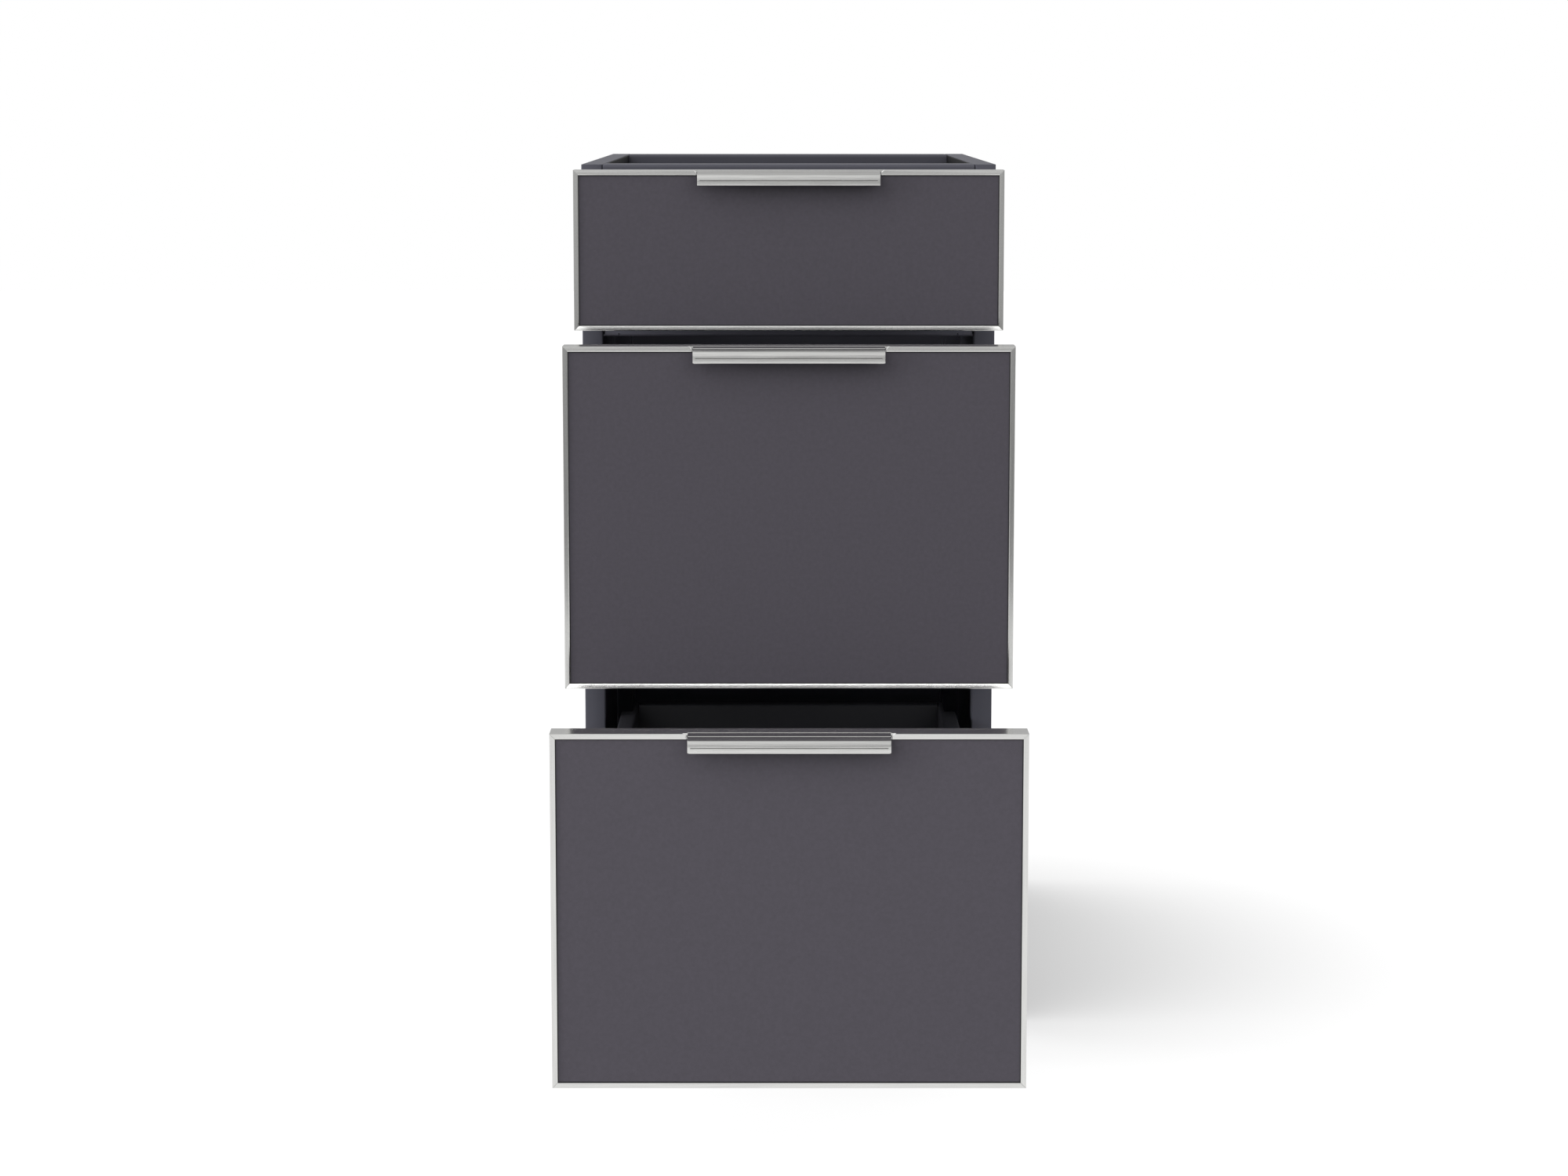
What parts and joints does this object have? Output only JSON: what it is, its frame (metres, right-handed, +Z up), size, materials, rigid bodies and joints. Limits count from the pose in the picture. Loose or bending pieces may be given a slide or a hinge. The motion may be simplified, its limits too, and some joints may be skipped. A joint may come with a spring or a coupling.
{
  "type": "outdoor kitchen drawer unit",
  "caption": "Free-standing open-topped steel base unit with one shallow and two deep drawers, framed board fronts and edge grips.",
  "frame": {"origin": "on the floor, under the middle of the space that the unit fills with its drawers out as stored", "axes": "+X to the right seen from the front, +Y from the drawer fronts to the back, +Z up"},
  "size_m": [0.4, 1.0892, 0.85],
  "materials": {
    "carcass_coat": "fine-textured matt powder coat, blue-grey anthracite",
    "front_laminate": "matt anthracite laminate with a faint grain",
    "brushed_metal": "brushed along the length of each bar",
    "drawer_coat": "matt powder coat, dark grey",
    "slide_zinc": "zinc plated, satin",
    "foot_plastic": "moulded, matt black"
  },
  "bodies": {
    "carcass": {"post_front_left": "carcass_coat", "post_front_right": "carcass_coat", "post_rear_left": "carcass_coat", "post_rear_right": "carcass_coat", "foot_front_left": "foot_plastic", "foot_front_right": "foot_plastic", "foot_rear_left": "foot_plastic", "foot_rear_right": "foot_plastic", "top_rail_front": "carcass_coat", "top_rail_rear": "carcass_coat", "top_rail_left": "carcass_coat", "top_rail_right": "carcass_coat", "cross_rail_upper": "carcass_coat", "cross_rail_lower": "carcass_coat", "side_panel_left": "carcass_coat", "side_panel_right": "carcass_coat", "back_panel": "carcass_coat", "bottom_panel": "carcass_coat", "plinth_panel": "carcass_coat", "slide_outer_upper_left": "slide_zinc", "slide_outer_upper_right": "slide_zinc", "slide_outer_middle_left": "slide_zinc", "slide_outer_middle_right": "slide_zinc", "slide_outer_lower_left": "slide_zinc", "slide_outer_lower_right": "slide_zinc"},
    "drawer_upper": {"front_frame_upper": "brushed_metal", "front_panel_upper": "front_laminate", "handle_upper": "brushed_metal", "drawer_side_upper_left": "drawer_coat", "drawer_side_upper_right": "drawer_coat", "drawer_floor_upper": "drawer_coat", "drawer_back_upper": "drawer_coat", "slide_inner_upper_left": "slide_zinc", "slide_inner_upper_right": "slide_zinc"},
    "drawer_middle": {"front_frame_middle": "brushed_metal", "front_panel_middle": "front_laminate", "handle_middle": "brushed_metal", "drawer_side_middle_left": "drawer_coat", "drawer_side_middle_right": "drawer_coat", "drawer_floor_middle": "drawer_coat", "drawer_back_middle": "drawer_coat", "slide_inner_middle_left": "slide_zinc", "slide_inner_middle_right": "slide_zinc"},
    "drawer_lower": {"front_frame_lower": "brushed_metal", "front_panel_lower": "front_laminate", "handle_lower": "brushed_metal", "drawer_side_lower_left": "drawer_coat", "drawer_side_lower_right": "drawer_coat", "drawer_floor_lower": "drawer_coat", "drawer_back_lower": "drawer_coat", "slide_inner_lower_left": "slide_zinc", "slide_inner_lower_right": "slide_zinc"},
    "runner_upper": {"slide_middle_upper_left": "slide_zinc", "slide_middle_upper_right": "slide_zinc"},
    "runner_middle": {"slide_middle_middle_left": "slide_zinc", "slide_middle_middle_right": "slide_zinc"},
    "runner_lower": {"slide_middle_lower_left": "slide_zinc", "slide_middle_lower_right": "slide_zinc"}
  },
  "joints": [
    {"name": "upper_drawer_slide", "type": "slide", "parent": "carcass", "child": "drawer_upper", "axis": [0, -1, 0], "range_m": [-0.118, 0.382]},
    {"name": "middle_drawer_slide", "type": "slide", "parent": "carcass", "child": "drawer_middle", "axis": [0, -1, 0], "range_m": [-0.279, 0.221]},
    {"name": "lower_drawer_slide", "type": "slide", "parent": "carcass", "child": "drawer_lower", "axis": [0, -1, 0], "range_m": [-0.47, 0.03]},
    {"name": "upper_runner_slide", "type": "slide", "parent": "carcass", "child": "runner_upper", "axis": [0, -1, 0], "range_m": [-0.059, 0.191]},
    {"name": "middle_runner_slide", "type": "slide", "parent": "carcass", "child": "runner_middle", "axis": [0, -1, 0], "range_m": [-0.1395, 0.1105]},
    {"name": "lower_runner_slide", "type": "slide", "parent": "carcass", "child": "runner_lower", "axis": [0, -1, 0], "range_m": [-0.235, 0.015]}
  ],
  "couplings": [
    {"joint": "upper_runner_slide", "follows": "upper_drawer_slide", "ratio": 0.5},
    {"joint": "middle_runner_slide", "follows": "middle_drawer_slide", "ratio": 0.5},
    {"joint": "lower_runner_slide", "follows": "lower_drawer_slide", "ratio": 0.5}
  ]
}
